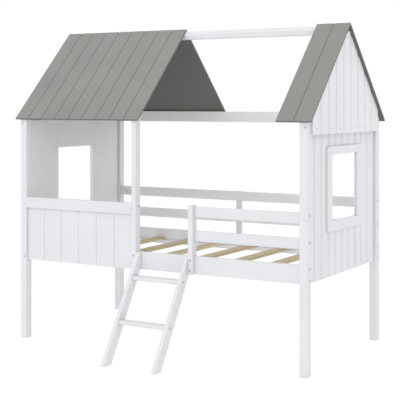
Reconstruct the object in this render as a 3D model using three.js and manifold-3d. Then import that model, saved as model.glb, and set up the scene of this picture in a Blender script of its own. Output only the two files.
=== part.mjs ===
// A child's mid sleeper bed shaped as a house: a raised slatted bed between two end walls with
// windows, under a pitched roof in two sections, with a short ladder at the front.
// Millimetres, +Z up, X along the bed, Y from front to back. While it is built, X runs from the
// outer face of the left posts and Y from the front face of the front posts; the whole bed is
// then moved so that the origin lies on the floor, in the middle of the bounding box.
import * as THREE from 'three';
import { mergeVertices } from 'three/addons/utils/BufferGeometryUtils.js';
import Module from 'manifold-3d';

const wasm = await Module();
wasm.setup();

// Fits, shared by all pieces
const fitGap = 0.3;
const cutOverrun = 5;

// Overall frame, over the outer faces of the corner posts
const bedLength = 2000;
const bedWidth = 1100;

// Corner posts
const postWidth = 46;
const postDepth = 52;
const postRound = 2;

// Roof
const ridgeHeight = 1968;
const eaveHeight = 1397;
const frontEaveOverhang = 16;
const backEaveOverhang = 26;
const endOverhang = 30;
const roofThickness = 10;
const leftRoofLength = 934;
const leftRoofPlanks = 9;
const rightRoofLength = 214;
const rightRoofPlanks = 2;
const roofGrooveWidth = 8;
const roofGrooveDepth = 3.5;

// Bed side rails and slats
const sideRailBottom = 502;
const sideRailHeight = 105;
const sideRailThickness = 22;
const sideRailRound = 5;
const frontRailInset = 24;
const backRailInset = 12;
const slatTop = 547;
const slatThickness = 17;
const slatWidth = 70;
const slatRound = 2;
const slatCount = 8;
const slatEndGap = 56.3;
const ledgerWidth = 20;
const ledgerHeight = 25;
const ledgerRound = 2;

// Window post, its section shared by the front guard's upright, and front left panel
const windowPostStart = 851;
const windowPostWidth = 31;
const windowPostDepth = 50;
const panelThickness = 10;
const panelPlanks = 6;
const panelGrooveWidth = 6;
const panelGrooveDepth = 3;
const panelRailBottom = 829;
const panelRailHeight = 69;
const panelRailThickness = 24;
const panelRailRound = 4;

// Guards
const guardRailHeight = 64;
const guardRailRound = 8;
const frontUpperGuardBottom = 831;
const frontLowerGuardBottom = 692;
const frontUprightRise = 5;
const backUpperGuardBottom = 831;
const backMiddleGuardBottom = 686;
const backUprightStart = 976;
const backUprightWidth = 42;
const backUprightThickness = 20;
const backUprightRound = 6;

// End walls, casings, tie rails and gables. A drop is measured from the eave's or the ridge's height.
const wallRecess = 18;
const wallThickness = 10;
const wallBottom = 500;
const wallTopDrop = 12;
const wallGrooveWidth = 36;
const wallGrooveDepth = 3.5;
const wallPlankPitch = 99.5;
const wallFirstPlank = 86;
const rightWindowWidth = 394;
const leftWindowWidth = 384;
const leftWindowShift = 5;
const windowSill = 816;
const windowHeadDrop = 198;
const casingThickness = 13;
const casingLap = 4;
const rightCasingShift = 8;
const leftCasingShift = -4;
const casingStileWidth = 64;
const casingHeadHeight = 47;
const casingSillHeight = 59;
const casingRound = 2;
const tieRailInset = 2;
const tieRailHeight = 55;
const gableBottomDrop = 77;
const gableTopDrop = 48;
const gableProud = 12;
const gableThickness = 10;
const gableBoards = 3;
const gablePlanksPerBoard = 3;

// Beams under the roof
const ridgeBeamDrop = 68;
const ridgeBeamWidth = 44;
const ridgeBeamRound = 6;
const eaveBeamDrop = 31;
const eaveBeamThickness = 22;
const eaveBeamFlatShare = 0.64;
const frontBattenRise = 1;

// Ladder
const ladderWidth = 361;
const ladderReach = 360;
const ladderStileThickness = 23;
const ladderStileDepth = 63;
const ladderTop = 605;
const ladderTopFlat = 16;
const lowerTreadTop = 237;
const upperTreadTop = 473;
const treadThickness = 23;
const treadDepth = 62;
const treadRound = 8;

// Colours and finishes
const paint = { color: 0xe6e7e9, roughness: 0.45, metalness: 0 };
const roofPaint = { color: 0x9a9c97, roughness: 0.55, metalness: 0 };
const pine = { color: 0xc4ae82, roughness: 0.6, metalness: 0 };

// Sizes that follow from those above
const middle = bedWidth / 2;
const frontRoofRun = middle + frontEaveOverhang;
const backRoofRun = middle + backEaveOverhang;
const roofPitch = Math.atan2(ridgeHeight - eaveHeight, frontRoofRun);
const roofPlumb = roofThickness / Math.cos(roofPitch);
const frontRailBack = frontRailInset + sideRailThickness;
const backRailFront = bedWidth - backRailInset - sideRailThickness;
const sideRailTop = sideRailBottom + sideRailHeight;
const innerLeft = postWidth + fitGap;
const innerRight = bedLength - postWidth - fitGap;
const wallTop = eaveHeight - wallTopDrop;
const windowHead = eaveHeight - windowHeadDrop;
const tieRailBottom = wallTop - tieRailInset - tieRailHeight;
const gableBottom = eaveHeight - gableBottomDrop;
const gableTop = ridgeHeight - gableTopDrop;
const gableInner = gableThickness - gableProud;
const ridgeBeamBottom = ridgeHeight - ridgeBeamDrop;
const eaveBeamBottom = eaveHeight - eaveBeamDrop;
const frontBattenBottom = eaveHeight + frontBattenRise;
const ladderStart = windowPostStart + windowPostWidth + fitGap;
const frontUprightStart = ladderStart + ladderWidth + fitGap;

const group = new THREE.Group();
const bed = new THREE.Group();
group.add(bed);

function material(look) {
  return new THREE.MeshStandardMaterial(look);
}

// Height of the roof's underside above a point, given by its distance from the front
function underRoof(y) {
  return ridgeHeight - roofPlumb - Math.abs(y - middle) * Math.tan(roofPitch);
}

// Closed solids for cutting, and back to a geometry
function solidOf(geometry) {
  const bare = geometry.clone();
  bare.deleteAttribute('normal');
  bare.deleteAttribute('uv');
  const merged = mergeVertices(bare);
  return new wasm.Manifold(new wasm.Mesh({
    numProp: 3,
    vertProperties: new Float32Array(merged.attributes.position.array),
    triVerts: new Uint32Array(merged.index.array),
  }));
}

function geometryOf(solid) {
  const mesh = solid.getMesh();
  const geometry = new THREE.BufferGeometry();
  geometry.setAttribute('position', new THREE.BufferAttribute(mesh.vertProperties, 3));
  geometry.setIndex(new THREE.BufferAttribute(mesh.triVerts, 1));
  const flat = geometry.toNonIndexed();
  flat.computeVertexNormals();
  return flat;
}

// Axes for a section drawn across X, Y or Z
const along = {
  x: [new THREE.Vector3(0, 1, 0), new THREE.Vector3(0, 0, 1), new THREE.Vector3(1, 0, 0)],
  y: [new THREE.Vector3(0, 0, 1), new THREE.Vector3(1, 0, 0), new THREE.Vector3(0, 1, 0)],
  z: [new THREE.Vector3(1, 0, 0), new THREE.Vector3(0, 1, 0), new THREE.Vector3(0, 0, 1)],
};

function turn(object, axes) {
  object.quaternion.setFromRotationMatrix(new THREE.Matrix4().makeBasis(...axes));
}

function roundedRectangle(width, height, radius) {
  const shape = new THREE.Shape();
  shape.moveTo(radius, 0);
  shape.lineTo(width - radius, 0);
  shape.absarc(width - radius, radius, radius, -Math.PI / 2, 0);
  shape.lineTo(width, height - radius);
  shape.absarc(width - radius, height - radius, radius, 0, Math.PI / 2);
  shape.lineTo(radius, height);
  shape.absarc(radius, height - radius, radius, Math.PI / 2, Math.PI);
  shape.lineTo(0, radius);
  shape.absarc(radius, radius, radius, Math.PI, Math.PI * 1.5);
  return shape;
}

function polygon(points) {
  return new THREE.Shape(points.map(([x, y]) => new THREE.Vector2(x, y)));
}

function extrude(shape, depth) {
  return new THREE.ExtrudeGeometry(shape, { depth, bevelEnabled: false, curveSegments: 3 });
}

function addMesh(parent, name, look, geometry, position, axes) {
  const mesh = new THREE.Mesh(geometry, material(look));
  mesh.name = name;
  mesh.position.set(...position);
  if (axes) turn(mesh, axes);
  parent.add(mesh);
  return mesh;
}

function evenPlaces(from, pitch, count) {
  return Array.from({ length: count }, (_, i) => from + pitch * i);
}

// A straight bar between two corners, its long edges rounded
function bar(parent, name, look, axis, low, high, radius) {
  const size = { x: high[0] - low[0], y: high[1] - low[1], z: high[2] - low[2] };
  const sides = { x: ['y', 'z'], y: ['z', 'x'], z: ['x', 'y'] }[axis];
  const section = roundedRectangle(size[sides[0]], size[sides[1]], radius);
  return addMesh(parent, name, look, extrude(section, size[axis]), low, along[axis]);
}

// Cuts the top of an upright bar to a slope, by moving its top corners
function slopeTop(geometry, rise) {
  geometry.computeBoundingBox();
  const half = geometry.boundingBox.max.z / 2;
  const place = geometry.attributes.position;
  for (let i = 0; i < place.count; i += 1) {
    if (place.getZ(i) > half) place.setZ(i, place.getZ(i) + rise(place.getY(i)));
  }
  geometry.computeVertexNormals();
  return geometry;
}

// A post that ends under the roof: its top follows the roof's underside
function roofPost(name, start, front, base, width, depth) {
  const top = underRoof(front) - fitGap;
  const geometry = extrude(roundedRectangle(width, depth, postRound), top - base);
  slopeTop(geometry, (y) => underRoof(front + y) - fitGap - top);
  return addMesh(bed, name, paint, geometry, [start, front, base], along.z);
}

// V grooves across X, open on the face at the given height of Z, along Y
function withGrooves(geometry, places, size) {
  let solid = solidOf(geometry);
  for (const x of places) {
    const half = size.width / 2 + cutOverrun * (size.width / 2) / size.depth;
    const groove = extrude(polygon([[-half, 0], [0, -size.depth - cutOverrun], [half, 0]]), size.length);
    groove.rotateX(Math.PI / 2);
    groove.translate(x, size.length - cutOverrun, size.face + cutOverrun);
    solid = solid.subtract(solidOf(groove));
  }
  return geometryOf(solid);
}

// Corner posts
const backPostFront = bedWidth - postDepth;
const rightPostStart = bedLength - postWidth;
roofPost('post_front_left', 0, 0, 0, postWidth, postDepth);
roofPost('post_front_right', rightPostStart, 0, 0, postWidth, postDepth);
roofPost('post_back_left', 0, backPostFront, 0, postWidth, postDepth);
roofPost('post_back_right', rightPostStart, backPostFront, 0, postWidth, postDepth);

// Notches a front post from behind, so that its lower end laps over the front side rail
function notchOverRail(post) {
  const notchHeight = sideRailTop + fitGap - wallBottom + cutOverrun;
  const notch = new THREE.BoxGeometry(windowPostWidth + cutOverrun * 2, windowPostDepth, notchHeight);
  notch.translate(
    windowPostWidth / 2,
    frontRailInset - fitGap + windowPostDepth / 2,
    notchHeight / 2 - cutOverrun,
  );
  post.geometry = geometryOf(solidOf(post.geometry).subtract(solidOf(notch)));
}
notchOverRail(roofPost('window_post', windowPostStart, 0, wallBottom, windowPostWidth, windowPostDepth));

// Side rails, ledgers and slats
function sideRail(name, front) {
  const low = [innerLeft, front, sideRailBottom];
  const high = [innerRight, front + sideRailThickness, sideRailTop];
  bar(bed, name, paint, 'x', low, high, sideRailRound);
}
sideRail('side_rail_front', frontRailInset);
sideRail('side_rail_back', backRailFront);

// The ledgers are strips on the rails' inner faces, and the slats lie on them
function ledger(name, front) {
  const top = slatTop - slatThickness - fitGap;
  const low = [innerLeft, front, top - ledgerHeight];
  const high = [innerRight, front + ledgerWidth, top];
  bar(bed, name, paint, 'x', low, high, ledgerRound);
}
ledger('slat_ledger_front', frontRailBack + fitGap);
ledger('slat_ledger_back', backRailFront - fitGap - ledgerWidth);

const slatPitch = (innerRight - innerLeft - slatEndGap * 2 - slatWidth) / (slatCount - 1);
evenPlaces(innerLeft + slatEndGap, slatPitch, slatCount).forEach((start, i) => {
  const low = [start, frontRailBack + fitGap, slatTop - slatThickness];
  const high = [start + slatWidth, backRailFront - fitGap, slatTop];
  bar(bed, `slat_${i + 1}`, pine, 'y', low, high, slatRound);
});

// Front left panel, between the left post and the window post
function frontPanel() {
  const width = windowPostStart - postWidth - fitGap * 2;
  const height = panelRailBottom - fitGap - wallBottom;
  const sheet = extrude(polygon([[0, 0], [width, 0], [width, height], [0, height]]), panelThickness);
  const grooves = {
    width: panelGrooveWidth,
    depth: panelGrooveDepth,
    length: height + cutOverrun * 2,
    face: panelThickness,
  };
  const plank = width / panelPlanks;
  const geometry = withGrooves(sheet, evenPlaces(plank, plank, panelPlanks - 1), grooves);
  const outward = [new THREE.Vector3(1, 0, 0), new THREE.Vector3(0, 0, 1), new THREE.Vector3(0, -1, 0)];
  addMesh(bed, 'front_panel', paint, geometry, [innerLeft, frontRailInset - fitGap, wallBottom], outward);
  const low = [innerLeft, 0, panelRailBottom];
  const high = [windowPostStart - fitGap, panelRailThickness, panelRailBottom + panelRailHeight];
  bar(bed, 'front_panel_rail', paint, 'x', low, high, panelRailRound);
}
frontPanel();

// Guards: the front rails butt into their upright's side, the back ones run past theirs
function guardRail(name, start, front, bottom) {
  const low = [start, front, bottom];
  const high = [innerRight, front + sideRailThickness, bottom + guardRailHeight];
  bar(bed, name, paint, 'x', low, high, guardRailRound);
}
const frontGuardStart = frontUprightStart + windowPostWidth + fitGap;
guardRail('front_guard_upper_rail', frontGuardStart, frontRailInset, frontUpperGuardBottom);
guardRail('front_guard_lower_rail', frontGuardStart, frontRailInset, frontLowerGuardBottom);
guardRail('back_guard_upper_rail', innerLeft, backRailFront, backUpperGuardBottom);
guardRail('back_guard_middle_rail', innerLeft, backRailFront, backMiddleGuardBottom);

function uprights() {
  const frontLow = [frontUprightStart, 0, wallBottom];
  const frontHigh = [
    frontUprightStart + windowPostWidth,
    windowPostDepth,
    frontUpperGuardBottom + guardRailHeight + frontUprightRise,
  ];
  notchOverRail(bar(bed, 'front_guard_upright', paint, 'z', frontLow, frontHigh, postRound));
  const backFace = bedWidth - backRailInset + fitGap;
  const backLow = [backUprightStart, backFace, sideRailBottom];
  const backHigh = [
    backUprightStart + backUprightWidth,
    backFace + backUprightThickness,
    backUpperGuardBottom + guardRailHeight,
  ];
  bar(bed, 'back_guard_upright', paint, 'z', backLow, backHigh, backUprightRound);
}
uprights();

// One end of the house, seen from outside: X across from its left edge, Y up, Z outward.
// The wall's outer face is at zero. The window's shift is measured from the wall's middle, and the
// casing's from the window's middle.
function houseEnd(side, window, origin, axes) {
  const end = new THREE.Group();
  end.position.set(...origin);
  turn(end, axes);
  bed.add(end);

  const edge = postDepth + fitGap;
  const far = bedWidth - edge;
  const windowLeft = middle + window.shift - window.width / 2;
  const windowRight = middle + window.shift + window.width / 2;
  const wallPlanks = Math.floor((bedWidth - postDepth * 2 - wallFirstPlank) / wallPlankPitch);
  const wallGrooves = evenPlaces(postDepth + wallFirstPlank, wallPlankPitch, wallPlanks);
  const wallBoards = {
    near_board: [edge, windowLeft - fitGap / 2, wallBottom, wallTop],
    far_board: [windowRight + fitGap / 2, far, wallBottom, wallTop],
    header: [windowLeft + fitGap / 2, windowRight - fitGap / 2, windowHead, wallTop],
    apron: [windowLeft + fitGap / 2, windowRight - fitGap / 2, wallBottom, windowSill],
  };
  for (const [name, [left, right, bottom, top]] of Object.entries(wallBoards)) {
    const height = top - bottom;
    const outline = polygon([[0, 0], [right - left, 0], [right - left, height], [0, height]]);
    const places = wallGrooves.map((x) => x - left).filter((x) => x > 0 && x < right - left);
    const grooves = {
      width: wallGrooveWidth,
      depth: wallGrooveDepth,
      length: height + cutOverrun * 2,
      face: wallThickness,
    };
    const geometry = withGrooves(extrude(outline, wallThickness), places, grooves);
    addMesh(end, `${side}_wall_${name}`, paint, geometry, [left, bottom, -wallThickness]);
  }

  const casingLeft = windowLeft + casingLap + window.casingShift;
  const casingRight = windowRight - casingLap + window.casingShift;
  const casingBack = fitGap;
  const casingFront = fitGap + casingThickness;
  const stileBottom = windowSill + fitGap;
  const stileTop = windowHead - fitGap;
  const outerLeft = casingLeft - casingStileWidth;
  const outerRight = casingRight + casingStileWidth;
  bar(end, `${side}_casing_near_stile`, paint, 'y',
    [outerLeft, stileBottom, casingBack], [casingLeft, stileTop, casingFront], casingRound);
  bar(end, `${side}_casing_far_stile`, paint, 'y',
    [casingRight, stileBottom, casingBack], [outerRight, stileTop, casingFront], casingRound);
  const headTop = windowHead + casingHeadHeight;
  bar(end, `${side}_casing_head`, paint, 'x',
    [outerLeft, windowHead, casingBack], [outerRight, headTop, casingFront], casingRound);
  const sillBottom = windowSill - casingSillHeight;
  bar(end, `${side}_casing_sill`, paint, 'x',
    [outerLeft, sillBottom, casingBack], [outerRight, windowSill, casingFront], casingRound);

  const gableBack = wallRecess + gableProud - gableThickness;
  const tieLow = [edge, tieRailBottom, fitGap];
  const tieHigh = [far, tieRailBottom + tieRailHeight, gableBack - fitGap];
  bar(end, `${side}_tie_rail`, paint, 'x', tieLow, tieHigh, casingRound);

  const boardWidth = (bedWidth - postDepth * 2) / gableBoards;
  const plank = boardWidth / gablePlanksPerBoard;
  const flatHalf = (underRoof(middle) - fitGap - gableTop) / Math.tan(roofPitch);
  const boardNames = ['near', 'middle', 'far'];
  for (let i = 0; i < gableBoards; i += 1) {
    const left = postDepth + boardWidth * i + fitGap;
    const right = postDepth + boardWidth * (i + 1) - fitGap;
    const corners = [left, middle - flatHalf, middle + flatHalf, right];
    const tops = corners.filter((x) => x >= left && x <= right);
    const outline = [[left, gableBottom], [right, gableBottom]];
    for (const x of tops.reverse()) outline.push([x, Math.min(gableTop, underRoof(x) - fitGap)]);
    const grooves = {
      width: wallGrooveWidth,
      depth: wallGrooveDepth,
      length: gableTop,
      face: gableThickness,
    };
    const places = evenPlaces(postDepth + boardWidth * i, plank, gablePlanksPerBoard + 1)
      .filter((x) => x > edge && x < far);
    const placed = outline.map(([x, y]) => [x, y - gableBottom]);
    const geometry = withGrooves(extrude(polygon(placed), gableThickness), places, grooves);
    addMesh(end, `${side}_gable_${boardNames[i]}_board`, paint, geometry, [0, gableBottom, gableBack]);
  }
}
const facingRight = [new THREE.Vector3(0, 1, 0), new THREE.Vector3(0, 0, 1), new THREE.Vector3(1, 0, 0)];
const facingLeft = [new THREE.Vector3(0, -1, 0), new THREE.Vector3(0, 0, 1), new THREE.Vector3(-1, 0, 0)];
const rightWindow = { width: rightWindowWidth, shift: 0, casingShift: rightCasingShift };
const leftWindow = { width: leftWindowWidth, shift: leftWindowShift, casingShift: leftCasingShift };
houseEnd('right', rightWindow, [bedLength - wallRecess, 0, 0], facingRight);
houseEnd('left', leftWindow, [wallRecess, bedWidth, 0], facingLeft);

// Ridge beam, its top shaped to the roof, its lower edges rounded
function ridgeBeam() {
  const half = ridgeBeamWidth / 2;
  const shoulder = underRoof(middle - half) - fitGap - ridgeBeamBottom;
  const apex = underRoof(middle) - fitGap - ridgeBeamBottom;
  const section = new THREE.Shape();
  section.moveTo(-half + ridgeBeamRound, 0);
  section.lineTo(half - ridgeBeamRound, 0);
  section.absarc(half - ridgeBeamRound, ridgeBeamRound, ridgeBeamRound, -Math.PI / 2, 0);
  section.lineTo(half, shoulder);
  section.lineTo(0, apex);
  section.lineTo(-half, shoulder);
  section.lineTo(-half, ridgeBeamRound);
  section.absarc(-half + ridgeBeamRound, ridgeBeamRound, ridgeBeamRound, Math.PI, Math.PI * 1.5);
  const start = gableInner + fitGap;
  const length = bedLength - start * 2;
  addMesh(bed, 'ridge_beam', paint, extrude(section, length), [start, middle, ridgeBeamBottom], along.x);
}
ridgeBeam();

// Back eave beam: a flat top, bevelled to the roof towards the eave
function backEaveBeam() {
  const roofAt = (y) => underRoof(backPostFront + y) - fitGap - eaveBeamBottom;
  const bevelStart = eaveBeamThickness * eaveBeamFlatShare;
  const section = polygon([
    [0, 0],
    [eaveBeamThickness, 0],
    [eaveBeamThickness, roofAt(eaveBeamThickness)],
    [bevelStart, roofAt(bevelStart)],
    [0, roofAt(bevelStart)],
  ]);
  const geometry = extrude(section, innerRight - innerLeft);
  addMesh(bed, 'back_eave_beam', paint, geometry, [innerLeft, backPostFront, eaveBeamBottom], along.x);
}
backEaveBeam();

// Front eave batten over the left panel, its top sloped to the roof
function frontEaveBatten() {
  const front = postDepth - eaveBeamThickness;
  const roofAt = (y) => underRoof(front + y) - fitGap - frontBattenBottom;
  const section = polygon([
    [0, 0],
    [eaveBeamThickness, 0],
    [eaveBeamThickness, roofAt(eaveBeamThickness)],
    [0, roofAt(0)],
  ]);
  const geometry = extrude(section, windowPostStart - fitGap - innerLeft);
  addMesh(bed, 'front_eave_batten', paint, geometry, [innerLeft, front, frontBattenBottom], along.x);
}
frontEaveBatten();

// Roof panels: X across the planks, Y up the slope from the eave, Z out of the roof
function roofPanel(name, run, length, planks, origin, axes) {
  const slope = run / Math.cos(roofPitch) - fitGap;
  const mitre = roofThickness * Math.tan(roofPitch);
  const profile = polygon([[0, 0], [slope - mitre, 0], [slope, roofThickness], [0, roofThickness]]);
  const sheet = extrude(profile, length);
  sheet.applyMatrix4(new THREE.Matrix4().makeBasis(...along.x));
  const grooves = {
    width: roofGrooveWidth,
    depth: roofGrooveDepth,
    length: slope + cutOverrun * 2,
    face: roofThickness,
  };
  const plank = length / planks;
  const geometry = withGrooves(sheet, evenPlaces(plank, plank, planks - 1), grooves);
  addMesh(bed, name, roofPaint, geometry, origin, axes);
}

function roofSection(side, start, length, planks) {
  const rise = Math.sin(roofPitch);
  const run = Math.cos(roofPitch);
  const inward = roofThickness * rise;
  const frontBottom = eaveHeight - roofThickness * run;
  const backBottom = frontBottom - (backRoofRun - frontRoofRun) * Math.tan(roofPitch);
  const frontAxes = [
    new THREE.Vector3(1, 0, 0),
    new THREE.Vector3(0, run, rise),
    new THREE.Vector3(0, -rise, run),
  ];
  const backAxes = [
    new THREE.Vector3(-1, 0, 0),
    new THREE.Vector3(0, -run, rise),
    new THREE.Vector3(0, rise, run),
  ];
  const frontOrigin = [start, inward - frontEaveOverhang, frontBottom];
  const backOrigin = [start + length, bedWidth + backEaveOverhang - inward, backBottom];
  roofPanel(`${side}_roof_front_panel`, frontRoofRun, length, planks, frontOrigin, frontAxes);
  roofPanel(`${side}_roof_back_panel`, backRoofRun, length, planks, backOrigin, backAxes);
}
roofSection('left', -endOverhang, leftRoofLength, leftRoofPlanks);
roofSection('right', bedLength + endOverhang - rightRoofLength, rightRoofLength, rightRoofPlanks);

// Ladder: stiles cut level at the floor and the top and plumb against the side rail, with the
// treads between them
function ladder() {
  const run = ladderReach + frontRailInset - fitGap;
  const pitch = Math.atan2(ladderTop, run - ladderTopFlat);
  const rise = Math.tan(pitch);
  const foot = ladderStileDepth / Math.sin(pitch);
  const side = polygon([
    [0, 0],
    [foot, 0],
    [run, (run - foot) * rise],
    [run, ladderTop],
    [run - ladderTopFlat, ladderTop],
  ]);
  const farStile = ladderStart + ladderWidth - ladderStileThickness;
  const stile = (name, start) => {
    const geometry = extrude(side, ladderStileThickness);
    addMesh(bed, name, paint, geometry, [start, -ladderReach, 0], along.x);
  };
  stile('ladder_left_stile', ladderStart);
  stile('ladder_right_stile', farStile);
  [lowerTreadTop, upperTreadTop].forEach((top, i) => {
    const front = top / rise - ladderReach;
    const low = [ladderStart + ladderStileThickness + fitGap, front, top - treadThickness];
    const high = [farStile - fitGap, front + treadDepth, top];
    bar(bed, `ladder_tread_${i + 1}`, paint, 'x', low, high, treadRound);
  });
}
ladder();

// The origin on the floor, in the middle of the box: the ladder's feet are the foremost points
// and the back eave the rearmost
const boxFront = -ladderReach;
const boxBack = bedWidth + backEaveOverhang;
bed.position.set(-bedLength / 2, -(boxFront + boxBack) / 2, 0);

export default group;
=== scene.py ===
import math
from fnmatch import fnmatch

import bmesh
import bpy
from mathutils import Matrix, Vector


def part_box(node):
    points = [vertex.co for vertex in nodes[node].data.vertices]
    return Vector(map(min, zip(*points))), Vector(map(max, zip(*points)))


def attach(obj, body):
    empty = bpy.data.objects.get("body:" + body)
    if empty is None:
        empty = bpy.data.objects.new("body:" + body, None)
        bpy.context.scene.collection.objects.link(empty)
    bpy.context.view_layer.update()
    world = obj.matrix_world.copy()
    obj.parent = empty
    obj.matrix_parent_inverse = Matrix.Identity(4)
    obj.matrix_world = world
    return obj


# Finishes, fasteners, floor, sky and camera for a mid sleeper bed shaped as a house. Metres, +Z up,
# X along the bed and Y from front to back, in the frame of the CAD.
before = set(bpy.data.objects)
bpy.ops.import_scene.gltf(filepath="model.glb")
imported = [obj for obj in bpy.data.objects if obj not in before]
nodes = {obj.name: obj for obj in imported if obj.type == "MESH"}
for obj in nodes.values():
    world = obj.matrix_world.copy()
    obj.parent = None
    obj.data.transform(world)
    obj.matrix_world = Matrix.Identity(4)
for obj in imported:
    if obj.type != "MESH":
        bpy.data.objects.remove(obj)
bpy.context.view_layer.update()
scene = bpy.context.scene

# Camera, kept level: the picture is shifted down instead of tilting the view
CAMERA_AT = (3.36407, -5.59327, 1.4997)
VIEW_TURN = math.radians(30.24)
SENSOR_WIDTH = 36.0
FOCAL_PER_WIDTH = 2.6193
SHIFT_DOWN = -0.2442
CLIP_END = 200.0

# Rounded edges of the pieces, wider where two wall boards meet
EDGE_BEVEL = 0.0013
JOINT_BEVEL = 0.0034
EDGE_SEGMENTS = 2
SHARP_ANGLE = math.radians(35)

# Colours, linear
WHITE = (0.80, 0.81, 0.832)
WHITE_WORN = (0.70, 0.67, 0.61)
GREY = (0.275, 0.283, 0.265)
GREY_WORN = (0.41, 0.40, 0.37)
# Painted shade for the underside of the roof and the ends of its planks
GREY_UNDER_SHADE = (0.130, 0.138, 0.126)
PINE_LIGHT = (0.675, 0.570, 0.385)
PINE_DARK = (0.455, 0.348, 0.195)
PINE_KNOT = (0.26, 0.15, 0.075)
STEEL = (0.60, 0.605, 0.62)
STEEL_DULL = (0.432, 0.4356, 0.4464)
STEEL_BRIGHT = (0.78, 0.7865, 0.806)

# Spans that several finishes share: the middle of a noise's values, how far a rounded normal leans
# from a flat face, and how squarely a face looks along an axis
NOISE_SPAN = (0.3, 0.7)
EDGE_SPAN = (0.995, 0.93)
SQUARE_SPAN = (0.93, 0.96)

# Paint: how far each kind of mark takes the colour away from the plain paint, from 0 to 1. Streaks, rubbing
# and each piece's own tone are the paint's own; the tone of the shade colour and the other marks are painted
# shade.
SHADE_TONE = 0.3
OWN_TONE = 0.985
STREAK_AMOUNT = 0.22
RUB_AMOUNT = 0.30
RUB_ROUGHNESS = 0.2
ROOF_END_AMOUNT = 0.6
ROOF_GROOVE_SHADE = 0.16
JOINT_SHADE_AMOUNT = 0.14
GROOVE_SHADE = 0.20
CREVICE_SHADE = 0.34
WALL_CREVICE_SHADE = 0.12
INNER_CREVICE_SHADE = 0.10

# Paint: sizes of the marks, in metres, and scales of the noises
RUB_RADIUS = 0.0028
SHELTER_REACH = 0.015
GROOVE_DEPTH = 0.0035
GROOVE_LIMIT = GROOVE_DEPTH * 1.2
JOINT_LINE_REACH = JOINT_BEVEL * 0.7
FIBRE_SCALE = 9.0
CLOUD_SCALE = 3.2
PATCH_SCALE = 26.0
SPECK_SCALE = 420.0
STREAK_SPAN = (0.35, 0.62)
PATCH_SPAN = (0.47, 0.62)
UNDER_SPAN = (-0.2, -0.5)
ROOF_GROOVE_FACING = (0.60, 0.90)
FIBRE_BUMP = (0.0006, 0.35)
SPECK_BUMP = (0.00015, 0.4)

# Noise is stretched along the grain, which runs along one axis or up a slope
STRETCH = {
    "x": (0.6, 16.0, 16.0),
    "y": (16.0, 0.6, 16.0),
    "z": (16.0, 16.0, 0.6),
    "slope": (16.0, 0.6, 0.6),
}

# Bare pine
PINE_SHIFT = 40.0
PINE_STRETCH = (26.0, 0.9, 26.0)
PINE_FIBRE_SCALE = 6.0
PINE_FIBRE_SPAN = (0.42, 0.66)
PINE_FIBRE_AMOUNT = 0.6
RING_SPAN = (0.2, 0.95)
KNOT_STRETCH = (9.0, 3.4, 9.0)
KNOT_HALO_SPAN = (0.24, 0.10)
KNOT_HALO_AMOUNT = 0.35
KNOT_CORE_SPAN = (0.13, 0.06)
KNOT_CORE_AMOUNT = 0.8
PINE_EDGE_RADIUS = 0.0022
PINE_EDGE_AMOUNT = 0.25
PINE_ROUGHNESS = (0.52, 0.68)
PINE_BUMP = (0.0007, 0.5)

# Plated steel
TOOL_MARK_SCALE = 900.0
STEEL_PATCH_SCALE = 160.0
STEEL_PATCH_SPAN = (0.35, 0.7)
STEEL_EDGE_RADIUS = 0.0006
STEEL_EDGE_AMOUNT = 0.5
STEEL_ROUGHNESS = (0.32, 0.5)
STEEL_BUMP = (0.00008, 0.5)

# Heads of the fasteners: points round each head, and its profile from foot to crown as shares of its
# radius and of its height
HEAD_POINTS = 24
HEAD_SUNK = 0.0004
HEAD_FOOT_SHARE = 0.92
HEAD_PROFILE_SHARES = ((1.0, 0.15), (0.97, 0.6), (0.84, 0.92), (0.70, 1.0))
SOCKET_RIM_SHARE = 0.96
SOCKET_FLOOR_SHARE = 0.1
SOCKET_TAPER_SHARE = 0.94
CROSS_SHARES = (1.0, 0.86, 0.36, 0.30, 0.36, 0.86)

# Heights of the bolts in the posts and uprights
SIDE_RAIL_BOLTS = (0.5240, 0.5860)
GUARD_BOLTS = (0.7320, 0.8790)
PANEL_RAIL_BOLT = 0.8640
EAVE_BOLT = 1.3640
PANEL_BOLT = 0.5180
WINDOW_POST_BOLTS = (0.5257, 0.5827)
WINDOW_POST_SIDE_BOLT = 0.8780
FRONT_UPRIGHT_BOLTS = (0.5247, 0.5845)
BACK_UPRIGHT_BOLTS = (0.5250, 0.5850, 0.7180, 0.8630)

# Distances of bolts and barrel nuts from the bed's ends, and from the middle of what they hold
EAVE_BOLT_INSET = 0.0110
PANEL_BOLT_INSET = 0.0340
SIDE_BOLT_FORWARD = 0.003
TREAD_BOLT_FORWARD = 0.008
NUT_INSET = 0.0770
NUT_RISE = 0.012
UPPER_LEFT_NUTS = ((0.0710, 0.8700), (0.0930, 0.8590))

# Screws through the gables, seen from outside, and the walls, seen from inside. Distances are from
# the middle of the bed for the gables and from its front for the walls.
GABLE_SCREW_HEIGHT = 1.350
GABLE_SCREW_REACHES = (0.442, 0.224, 0.112)
WALL_SCREW_ROWS = {
    1.350: (0.070, 0.313, 0.378, 0.716, 0.781, 1.024),
    1.235: (0.341, 0.547, 0.755),
    1.203: (0.325, 0.775),
    0.800: (0.325, 0.769),
    0.790: (0.378, 0.547, 0.716),
}
SLAT_SCREW_INSET = 0.010

# Ways that heads face
TO_FRONT = (0, -1, 0)
TO_BACK = (0, 1, 0)
TO_RIGHT = (1, 0, 0)
UPWARD = (0, 0, 1)

# Floor and sky. Rays from the camera see a plain white behind the bed; the others get softer light.
FLOOR_REACH = 60.0
FLOOR_TONE = 0.9
FLOOR_GLOW = 1.03
FLOOR_GLOW_MIX = 0.45
FLOOR_GLOW_SEEN_MIX = 0.93
SKY_LEVEL = 0.90
SKY_BY_DIRECTION = {"Z": 0.22, "Y": -0.14, "X": -0.06}
PLAIN_WHITE = (1, 1, 1, 1)


def shaded(colour, factor):
    return tuple(c * factor for c in colour)


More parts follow.
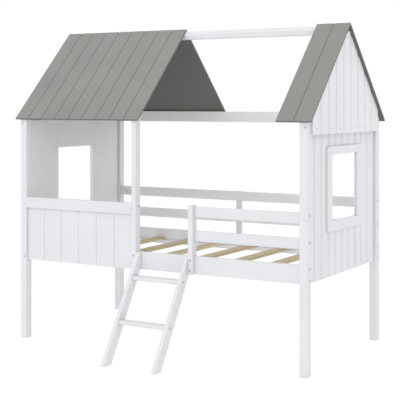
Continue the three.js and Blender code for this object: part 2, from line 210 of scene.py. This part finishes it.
class Tree:
    """Short calls for the nodes of a material or of the world."""

    def __init__(self, node_tree):
        self.nodes = node_tree.nodes
        self.links = node_tree.links

    def add(self, kind, **values):
        node = self.nodes.new(kind)
        for key, value in values.items():
            setattr(node, key, value)
        return node

    def feed(self, source, target):
        """Sets a socket, from another socket or to a value."""
        if hasattr(source, "is_output"):
            self.links.new(source, target)
        else:
            target.default_value = source

    def set(self, node, **values):
        """Sets a node's sockets by name, with _ for a space."""
        for key, value in values.items():
            self.feed(value, node.inputs[key.replace("_", " ")])
        return node

    def coordinates(self):
        return self.add("ShaderNodeTexCoord").outputs["Object"]

    def scaled(self, vector, scale):
        mapping = self.add("ShaderNodeMapping")
        return self.set(mapping, Vector=vector, Scale=scale).outputs["Vector"]

    def noise(self, vector, scale, detail=4.0, roughness=0.55, distortion=0.0):
        node = self.add("ShaderNodeTexNoise")
        self.set(node, Vector=vector, Scale=scale, Detail=detail)
        return self.set(node, Roughness=roughness, Distortion=distortion).outputs["Fac"]

    def remap(self, value, span, to=(0.0, 1.0)):
        """Carries a span of values over to another, and stays at its ends outside."""
        node = self.set(self.add("ShaderNodeMapRange"), Value=value, From_Min=span[0], From_Max=span[1])
        return self.set(node, To_Min=to[0], To_Max=to[1]).outputs["Result"]

    def math(self, kind, a, b=0.0):
        node = self.add("ShaderNodeMath", operation=kind)
        self.feed(a, node.inputs[0])
        self.feed(b, node.inputs[1])
        return node.outputs[0]

    def mix(self, amount, first, second, blend="MIX"):
        """Mixes two colours; a colour is a socket or three numbers."""
        node = self.add("ShaderNodeMix", data_type="RGBA", blend_type=blend)
        self.feed(amount, node.inputs["Factor"])
        for source, target in ((first, node.inputs[6]), (second, node.inputs[7])):
            self.feed((*source, 1.0) if isinstance(source, tuple) else source, target)
        return node.outputs[2]

    def mix_shaders(self, amount, first, second):
        node = self.add("ShaderNodeMixShader")
        for source, target in zip((amount, first, second), node.inputs):
            self.feed(source, target)
        return node.outputs[0]

    def bump(self, height, size, below=None):
        """Bumps of a size, which is their height in metres and their strength."""
        node = self.add("ShaderNodeBump")
        self.set(node, Height=height, Distance=size[0], Strength=size[1])
        if below is not None:
            self.feed(below, node.inputs["Normal"])
        return node.outputs["Normal"]

    def part(self, vector, axis):
        """One of the three numbers of a vector."""
        split = self.add("ShaderNodeSeparateXYZ")
        self.feed(vector, split.inputs[0])
        return split.outputs[axis]

    def geometry(self, name):
        return self.add("ShaderNodeNewGeometry").outputs[name]

    def facing(self, axis):
        """How squarely the surface faces along an axis, either way, from 0 to 1."""
        return self.math("ABSOLUTE", self.part(self.geometry("True Normal"), axis))

    def edges(self, radius):
        """1 on edges and corners, 0 on flat ground."""
        rounded = self.set(self.add("ShaderNodeBevel", samples=4), Radius=radius)
        dot = self.add("ShaderNodeVectorMath", operation="DOT_PRODUCT")
        self.feed(rounded.outputs["Normal"], dot.inputs[0])
        self.feed(self.geometry("Normal"), dot.inputs[1])
        return self.remap(dot.outputs["Value"], EDGE_SPAN)

    def shelter(self, distance):
        """0 in the open, up to 1 deep in a corner or a gap, by ambient occlusion; the paint lays painted
        shade by it.
        """
        node = self.set(self.add("ShaderNodeAmbientOcclusion", samples=8), Distance=distance)
        return self.math("SUBTRACT", 1.0, node.outputs["AO"])

    def each(self):
        """A number from 0 to 1 that differs from piece to piece."""
        return self.add("ShaderNodeObjectInfo").outputs["Random"]

    def seen(self):
        """1 for rays from the camera, and for those that come by way of metal or glass."""
        rays = self.add("ShaderNodeLightPath").outputs
        direct = self.math("MAXIMUM", rays["Is Camera Ray"], rays["Is Glossy Ray"])
        return self.math("MAXIMUM", direct, rays["Is Transmission Ray"])


class Material(Tree):
    """A new material, with its shader's colour, roughness and bump still to be set."""

    def __init__(self, name):
        self.material = bpy.data.materials.new(name)
        self.material.use_nodes = True
        super().__init__(self.material.node_tree)
        self.shader = self.nodes["Principled BSDF"]

    def finish(self, colour, roughness, normal):
        self.set(self.shader, Base_Color=colour, Roughness=roughness, Normal=normal)
        return self.material


def groove_shade(tree, face):
    """Painted shade in the grooves of a wall or a gable: darkening by depth below its outer face, down to
    the foot of its grooves.
    """
    depth = tree.math("SUBTRACT", face, tree.math("ABSOLUTE", tree.part(tree.geometry("Position"), "X")))
    inside = tree.math("LESS_THAN", depth, GROOVE_LIMIT)
    return tree.math("MULTIPLY", tree.remap(depth, (0.0, GROOVE_DEPTH), to=(0.0, GROOVE_SHADE)), inside)


def joint_shade(tree, place):
    """A thin painted shadow line where two boards meet, at one place along Y."""
    away = tree.math("SUBTRACT", tree.part(tree.geometry("Position"), "Y"), place)
    near = tree.math("LESS_THAN", tree.math("ABSOLUTE", away), JOINT_LINE_REACH)
    return tree.math("MULTIPLY", near, JOINT_SHADE_AMOUNT)


def roof_groove_shade(tree):
    """Painted shade on faces turned partly along the bed, as the sides of the roof's grooves are."""
    turned = tree.facing("X")
    steep = tree.math("GREATER_THAN", turned, ROOF_GROOVE_FACING[0])
    shallow = tree.math("LESS_THAN", turned, ROOF_GROOVE_FACING[1])
    return tree.math("MULTIPLY", tree.math("MULTIPLY", steep, shallow), ROOF_GROOVE_SHADE)


def roof_under_shade(tree):
    """Where the roof's painted shade goes: 1 on its underside, less on the ends of its planks."""
    below = tree.remap(tree.part(tree.geometry("True Normal"), "Z"), UNDER_SPAN)
    ends = tree.remap(tree.facing("X"), SQUARE_SPAN, to=(0.0, ROOF_END_AMOUNT))
    return tree.math("MAXIMUM", below, ends)


def painted(
    name, grain, colour=WHITE, worn=WHITE_WORN, crevice=CREVICE_SHADE, tone=0.035, roughness=0.44,
    groove_face=None, joints=(), cheeks=None, roof=False,
):
    """Paint over wood: faint grain, uneven tone, rubbed edges, painted shade in corners, gaps, grooves and
    joints, and where asked painted light on faces turned along Y and painted shade under the roof.
    """
    tree = Material(name)
    plain = tree.coordinates()
    dark = shaded(colour, 1 - tone)
    light = tuple(min(1.0, c) for c in shaded(colour, 1 + tone * 0.6))
    # The colour of all the painted shade
    painted_shade = shaded(colour, SHADE_TONE)

    fibres = tree.noise(tree.scaled(plain, STRETCH[grain]), FIBRE_SCALE, detail=6.0, distortion=0.4)
    clouds = tree.noise(plain, CLOUD_SCALE, detail=3.0)
    base = tree.mix(tree.remap(clouds, NOISE_SPAN), dark, light)
    streaks = tree.math("MULTIPLY", tree.remap(fibres, STREAK_SPAN), STREAK_AMOUNT)
    base = tree.mix(streaks, base, dark)
    own_tone = tree.remap(tree.each(), (0.0, 1.0), to=(OWN_TONE, 1.0))
    own_grey = tree.set(tree.add("ShaderNodeCombineColor"), Red=own_tone, Green=own_tone, Blue=own_tone)
    base = tree.mix(1.0, base, own_grey.outputs[0], "MULTIPLY")

    patches = tree.remap(tree.noise(plain, PATCH_SCALE, detail=5.0), PATCH_SPAN)
    rubbed = tree.math("MULTIPLY", tree.edges(RUB_RADIUS), patches)
    base = tree.mix(tree.math("MULTIPLY", rubbed, RUB_AMOUNT), base, worn)
    # Painted shade, darkened towards the shade colour: in corners and gaps by ambient occlusion, in the
    # grooves of the roof, walls and gables, and along the board joints
    marks = [tree.math("MULTIPLY", tree.shelter(SHELTER_REACH), crevice)]
    if roof:
        marks.append(roof_groove_shade(tree))
    if groove_face is not None:
        marks.append(groove_shade(tree, groove_face))
    marks += [joint_shade(tree, place) for place in joints]
    for mark in marks:
        base = tree.mix(mark, base, painted_shade)
    # Painted light: faces turned along Y, such as the window reveals, made lighter by this factor
    if cheeks is not None:
        turned = tree.remap(tree.facing("Y"), SQUARE_SPAN)
        base = tree.mix(turned, base, (cheeks, cheeks, cheeks), "MULTIPLY")
    # Painted shade: the roof's underside, and less its plank ends, darkened to a shade grey
    if roof:
        base = tree.mix(roof_under_shade(tree), base, GREY_UNDER_SHADE)

    rough = tree.remap(fibres, NOISE_SPAN, to=(roughness - 0.05, roughness + 0.08))
    rough = tree.math("ADD", rough, tree.math("MULTIPLY", rubbed, RUB_ROUGHNESS))
    wood = tree.bump(fibres, FIBRE_BUMP)
    peel = tree.bump(tree.noise(plain, SPECK_SCALE, detail=2.0), SPECK_BUMP, below=wood)
    return tree.finish(base, rough, peel)


def bare_pine(name):
    """Planed pine along Y: growth rings, fine fibres, a few knots, softer edges."""
    tree = Material(name)
    shift = tree.add("ShaderNodeCombineXYZ")
    offset = tree.math("MULTIPLY", tree.each(), PINE_SHIFT)
    tree.set(shift, X=offset, Y=offset)
    moved = tree.add("ShaderNodeVectorMath", operation="ADD")
    tree.feed(tree.coordinates(), moved.inputs[0])
    tree.feed(shift.outputs[0], moved.inputs[1])

    stretched = tree.scaled(moved.outputs[0], PINE_STRETCH)
    rings = tree.add("ShaderNodeTexWave", wave_type="BANDS", bands_direction="X")
    tree.set(rings, Vector=stretched, Scale=1.1, Distortion=5.0, Detail=3.0, Detail_Scale=0.8)
    fibres = tree.noise(stretched, PINE_FIBRE_SCALE, detail=8.0, roughness=0.65)
    base = tree.mix(tree.remap(rings.outputs["Fac"], RING_SPAN), PINE_LIGHT, PINE_DARK)
    base = tree.mix(tree.remap(fibres, PINE_FIBRE_SPAN, to=(0.0, PINE_FIBRE_AMOUNT)), base, PINE_LIGHT)

    knots = tree.add("ShaderNodeTexVoronoi", feature="F1")
    tree.set(knots, Vector=tree.scaled(moved.outputs[0], KNOT_STRETCH), Scale=1.0)
    halo = tree.remap(knots.outputs["Distance"], KNOT_HALO_SPAN, to=(0.0, KNOT_HALO_AMOUNT))
    core = tree.remap(knots.outputs["Distance"], KNOT_CORE_SPAN, to=(0.0, KNOT_CORE_AMOUNT))
    edge = tree.math("MULTIPLY", tree.edges(PINE_EDGE_RADIUS), PINE_EDGE_AMOUNT)
    for amount, colour in ((halo, PINE_DARK), (core, PINE_KNOT), (edge, PINE_DARK)):
        base = tree.mix(amount, base, colour)
    rough = tree.remap(fibres, NOISE_SPAN, to=PINE_ROUGHNESS)
    return tree.finish(base, rough, tree.bump(fibres, PINE_BUMP))


def plated_steel(name):
    """Zinc plated steel with fine tool marks, darker patches and brighter edges."""
    tree = Material(name)
    tree.set(tree.shader, Metallic=0.9)
    plain = tree.coordinates()
    marks = tree.noise(plain, TOOL_MARK_SCALE, detail=3.0)
    patches = tree.noise(plain, STEEL_PATCH_SCALE, detail=4.0)
    base = tree.mix(tree.remap(patches, STEEL_PATCH_SPAN), STEEL, STEEL_DULL)
    edge = tree.math("MULTIPLY", tree.edges(STEEL_EDGE_RADIUS), STEEL_EDGE_AMOUNT)
    base = tree.mix(edge, base, STEEL_BRIGHT)
    return tree.finish(base, tree.remap(marks, NOISE_SPAN, to=STEEL_ROUGHNESS), tree.bump(marks, STEEL_BUMP))


# White paint scaled by a factor: above 1 is painted light and below 1 painted shade, for pieces that sit in
# more or less light than the rest
def white_paint(name, grain, factor=1.0, **options):
    return painted(name, grain, colour=shaded(WHITE, factor), **options)


# Outer faces of the walls and gables, and the joints between the left wall's boards
wall_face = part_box("right_wall_header")[1].x
gable_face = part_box("right_gable_middle_board")[1].x
left_joints = tuple(corner.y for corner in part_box("left_wall_header"))

lengthwise = white_paint("white_paint_x", "x")
crosswise = white_paint("white_paint_y", "y")
upright = white_paint("white_paint_z", "z")
# Painted light: the rails inside the house and the left wall are made lighter than the plain white, and the
# left wall's faces turned along Y lighter still
inner_rails = white_paint("white_inner_rails", "x", 1.07, crevice=INNER_CREVICE_SHADE)
left_wall = white_paint(
    "white_left_wall", "z", 1.035, crevice=WALL_CREVICE_SHADE,
    groove_face=wall_face, joints=left_joints, cheeks=1.15,
)

# The finish of each node, by the first pattern that its name fits
# Factors other than 1 in the white paints below are painted light and shade: the gables, the right wall and
# the eave beam are made lighter, the back posts darker
FINISHES = (
    ("*_roof_*", painted("grey_paint", "slope", GREY, GREY_WORN, tone=0.07, roughness=0.56, roof=True)),
    ("slat_?", bare_pine("bare_pine")),
    ("ladder_*_stile", white_paint("white_paint_slope", "slope")),
    ("*_casing_head", crosswise),
    ("*_casing_sill", crosswise),
    ("*_tie_rail", crosswise),
    ("*_gable_*", white_paint("white_gables", "z", 1.035, groove_face=gable_face)),
    ("left_wall_*", left_wall),
    ("right_wall_*", white_paint("white_right_wall", "z", 1.01, groove_face=wall_face)),
    ("post_back_*", white_paint("white_back_posts", "z", 0.965)),
    ("slat_ledger_*", white_paint("white_ledgers", "x", crevice=INNER_CREVICE_SHADE)),
    ("back_eave_beam", white_paint("white_eave_beam", "x", 1.15)),
    ("back_guard_*_rail", inner_rails),
    ("side_rail_back", inner_rails),
    ("front_panel", white_paint("white_panel", "z")),
    ("*_casing_*_stile", white_paint("white_casings", "z", crevice=WALL_CREVICE_SHADE)),
    ("post_front_*", upright),
    ("window_post", upright),
    ("*_upright", upright),
    ("*", lengthwise),
)
steel = plated_steel("plated_steel")


def dress(name, piece):
    """Gives a node its finish and its rounded edges."""
    finish = next(material for pattern, material in FINISHES if fnmatch(name, pattern))
    piece.data.materials.clear()
    piece.data.materials.append(finish)
    bevel = piece.modifiers.new("worn_edges", "BEVEL")
    bevel.width = JOINT_BEVEL if "_wall_" in name else EDGE_BEVEL
    bevel.segments = EDGE_SEGMENTS
    bevel.limit_method = "ANGLE"
    bevel.angle_limit = SHARP_ANGLE
    bevel.use_clamp_overlap = True


for node_name, node_piece in nodes.items():
    dress(node_name, node_piece)


# Outlines of a head and its recess, as the share of the radius at each turn
def disc(number, angle):
    return 1.0


def hexagon(number, angle):
    return math.cos(math.pi / 6) / math.cos((angle % (math.pi / 3)) - math.pi / 6)


def cross(number, angle):
    return CROSS_SHARES[number % len(CROSS_SHARES)]


def loop(outline, radius, height):
    """Points at even turns, so that every outline joins to every other."""
    points = []
    for number in range(HEAD_POINTS):
        angle = 2 * math.pi * number / HEAD_POINTS
        reach = radius * outline(number, angle)
        points.append((reach * math.cos(angle), reach * math.sin(angle), height))
    return points


def add_head(mesh, point, facing, loops):
    """One closed head, its loops set on a point and turned to face one way."""
    out = Vector(facing)
    helper = Vector((1, 0, 0)) if out.z else Vector((0, 0, 1))
    side = helper.cross(out).normalized()
    up = out.cross(side)
    rings = [
        [mesh.verts.new(Vector(point) + side * x + up * y + out * z) for x, y, z in points]
        for points in loops
    ]
    for lower, upper in zip(rings, rings[1:]):
        for i in range(HEAD_POINTS):
            j = (i + 1) % HEAD_POINTS
            mesh.faces.new((lower[i], lower[j], upper[j], upper[i]))
    mesh.faces.new(rings[-1])
    mesh.faces.new(list(reversed(rings[0])))


def heads(name, places, radius, proud, recess, recess_radius):
    """One piece with a head at each place, which is a point and the way the head faces."""
    loops = [loop(disc, radius * HEAD_FOOT_SHARE, -HEAD_SUNK)]
    loops += [loop(disc, radius * wide, proud * high) for wide, high in HEAD_PROFILE_SHARES]
    loops.append(loop(recess, recess_radius, proud * SOCKET_RIM_SHARE))
    loops.append(loop(recess, recess_radius * SOCKET_TAPER_SHARE, proud * SOCKET_FLOOR_SHARE))
    mesh = bmesh.new()
    for point, facing in places:
        add_head(mesh, point, facing, loops)
    bmesh.ops.recalc_face_normals(mesh, faces=mesh.faces)
    data = bpy.data.meshes.new(name)
    mesh.to_mesh(data)
    mesh.free()
    data.materials.append(steel)
    piece = bpy.data.objects.new(name, data)
    scene.collection.objects.link(piece)
    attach(piece, "root")


# The bed's outer faces, and the lines that the side rails' bolts run along
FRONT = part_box("post_front_left")[0].y
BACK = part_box("post_back_right")[1].y
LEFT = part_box("post_front_left")[0].x
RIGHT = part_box("post_front_right")[1].x
MIDDLE = (FRONT + BACK) / 2
FRONT_RAIL = sum(corner.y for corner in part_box("side_rail_front")) / 2
BACK_RAIL = sum(corner.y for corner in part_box("side_rail_back")) / 2


def end_face(node, way):
    """Where a node ends along the bed, to the left for -1 and to the right for 1."""
    low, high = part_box(node)
    return high.x if way > 0 else low.x


def corner_bolts():
    """Bolts through the ends of the side rails, the guards and the panel's rail."""
    places = []
    for x, way in ((LEFT, -1), (RIGHT, 1)):
        for y in (FRONT_RAIL, BACK_RAIL):
            at_panel = x == LEFT and y == FRONT_RAIL
            heights = SIDE_RAIL_BOLTS + ((PANEL_RAIL_BOLT,) if at_panel else GUARD_BOLTS)
            places += [((x, y, z), (way, 0, 0)) for z in heights]
    return places


def up_the_front(node, heights):
    low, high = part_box(node)
    return [(((low.x + high.x) / 2, low.y, z), TO_FRONT) for z in heights]


def up_the_back(node, heights):
    low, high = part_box(node)
    return [(((low.x + high.x) / 2, high.y, z), TO_BACK) for z in heights]


def frame_bolts():
    """Bolts at the eaves, in the window post and in the uprights."""
    places = []
    for x in (LEFT + EAVE_BOLT_INSET, RIGHT - EAVE_BOLT_INSET):
        places.append(((x, FRONT, EAVE_BOLT), TO_FRONT))
        places.append(((x, BACK, EAVE_BOLT), TO_BACK))
    places.append(((LEFT + PANEL_BOLT_INSET, FRONT, PANEL_BOLT), TO_FRONT))
    places += up_the_front("window_post", WINDOW_POST_BOLTS)
    side_bolt = (end_face("window_post", 1), FRONT_RAIL - SIDE_BOLT_FORWARD, WINDOW_POST_SIDE_BOLT)
    places.append((side_bolt, TO_RIGHT))
    places += up_the_front("front_guard_upright", FRONT_UPRIGHT_BOLTS)
    places += up_the_back("back_guard_upright", BACK_UPRIGHT_BOLTS)
    return places


def barrel_nuts():
    """Nuts in the inner faces of the rails, near the bed's ends."""
    left = LEFT + NUT_INSET
    right = RIGHT - NUT_INSET
    upper_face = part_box("back_guard_upper_rail")[0].y
    places = [((LEFT + inset, upper_face, z), TO_FRONT) for inset, z in UPPER_LEFT_NUTS]
    for node, inset_places in (
        ("back_guard_middle_rail", (left, right)),
        ("side_rail_back", (left, right)),
        ("back_guard_upper_rail", (right,)),
    ):
        low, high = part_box(node)
        places += [((x, low.y, (low.z + high.z) / 2 + NUT_RISE), TO_FRONT) for x in inset_places]
    for node in ("front_guard_upper_rail", "front_guard_lower_rail", "side_rail_front"):
        low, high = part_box(node)
        places.append(((right, high.y, (low.z + high.z) / 2 + NUT_RISE), TO_BACK))
    return places


def board_screws():
    """Screws through the gable boards from outside and the wall boards from inside."""
    places = []
    for side, way in (("left", -1), ("right", 1)):
        outer = end_face(f"{side}_gable_middle_board", way)
        for reach in GABLE_SCREW_REACHES:
            for turn in (-1, 1):
                places.append(((outer, MIDDLE + turn * reach, GABLE_SCREW_HEIGHT), (way, 0, 0)))
        inner = end_face(f"{side}_wall_header", -way)
        for z, row in WALL_SCREW_ROWS.items():
            places += [((inner, FRONT + y, z), (-way, 0, 0)) for y in row]
    return places


def tread_bolts():
    """Bolts through the ladder's stiles into the ends of its treads."""
    places = []
    for side, way in (("left", -1), ("right", 1)):
        face = end_face(f"ladder_{side}_stile", way)
        for number in (1, 2):
            low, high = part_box(f"ladder_tread_{number}")
            middle = (low + high) / 2
            places.append(((face, middle.y - TREAD_BOLT_FORWARD, middle.z), (way, 0, 0)))
    return places


def slat_screws():
    """A screw at each end of each slat, down into the ledger."""
    places = []
    for node in sorted(name for name in nodes if fnmatch(name, "slat_?")):
        low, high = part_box(node)
        for y in (low.y + SLAT_SCREW_INSET, high.y - SLAT_SCREW_INSET):
            places.append((((low.x + high.x) / 2, y, high.z), UPWARD))
    return places


heads("corner_bolts", corner_bolts(), radius=0.0080, proud=0.0016, recess=hexagon, recess_radius=0.0030)
heads("frame_bolts", frame_bolts(), radius=0.0064, proud=0.0013, recess=hexagon, recess_radius=0.0025)
heads("barrel_nuts", barrel_nuts(), radius=0.0060, proud=0.0007, recess=cross, recess_radius=0.0044)
heads("board_screws", board_screws(), radius=0.0046, proud=0.0007, recess=cross, recess_radius=0.0028)
heads("tread_bolts", tread_bolts(), radius=0.0068, proud=0.0014, recess=hexagon, recess_radius=0.0028)
heads("slat_screws", slat_screws(), radius=0.0034, proud=0.0006, recess=cross, recess_radius=0.0022)


def floor_material():
    """Matt white that also glows, more so to the rays that see it than to those that light the bed."""
    tree = Material("white_floor")
    tree.set(tree.shader, Base_Color=(FLOOR_TONE, FLOOR_TONE, FLOOR_TONE, 1), Roughness=1.0)
    tree.set(tree.shader, Specular_IOR_Level=0.0)
    glow = tree.set(tree.add("ShaderNodeEmission"), Color=PLAIN_WHITE, Strength=FLOOR_GLOW)
    amount = tree.remap(tree.seen(), (0.0, 1.0), to=(FLOOR_GLOW_MIX, FLOOR_GLOW_SEEN_MIX))
    surface = tree.mix_shaders(amount, tree.shader.outputs[0], glow.outputs[0])
    tree.feed(surface, tree.nodes["Material Output"].inputs["Surface"])
    return tree.material


def make_floor():
    corners = [(-1, -1), (1, -1), (1, 1), (-1, 1)]
    mesh = bpy.data.meshes.new("floor")
    mesh.from_pydata([(x * FLOOR_REACH, y * FLOOR_REACH, 0) for x, y in corners], [], [range(4)])
    mesh.materials.append(floor_material())
    floor = bpy.data.objects.new("floor", mesh)
    scene.collection.objects.link(floor)


def make_sky():
    """Even white light, a little stronger from above, from the front and from the left."""
    world = bpy.data.worlds.new("studio")
    world.use_nodes = True
    scene.world = world
    tree = Tree(world.node_tree)
    tree.nodes.clear()
    direction = tree.add("ShaderNodeTexCoord").outputs["Generated"]
    level = SKY_LEVEL
    for axis, amount in SKY_BY_DIRECTION.items():
        share = tree.math("MULTIPLY", tree.part(direction, axis), amount)
        level = tree.math("ADD", level, share)
    light = tree.set(tree.add("ShaderNodeBackground"), Color=PLAIN_WHITE, Strength=level)
    backdrop = tree.set(tree.add("ShaderNodeBackground"), Color=PLAIN_WHITE, Strength=1.0)
    surface = tree.mix_shaders(tree.seen(), light.outputs[0], backdrop.outputs[0])
    tree.feed(surface, tree.add("ShaderNodeOutputWorld").inputs["Surface"])


def make_camera():
    data = bpy.data.cameras.new("camera")
    data.sensor_width = SENSOR_WIDTH
    data.lens = FOCAL_PER_WIDTH * SENSOR_WIDTH
    data.shift_y = SHIFT_DOWN
    data.clip_end = CLIP_END
    camera = bpy.data.objects.new("camera", data)
    level_view = Matrix.Rotation(math.pi / 2, 4, "X")
    camera.matrix_world = Matrix.Translation(CAMERA_AT) @ Matrix.Rotation(VIEW_TURN, 4, "Z") @ level_view
    scene.collection.objects.link(camera)
    scene.camera = camera


make_floor()
make_sky()
scene.view_settings.view_transform = "Standard"
make_camera()
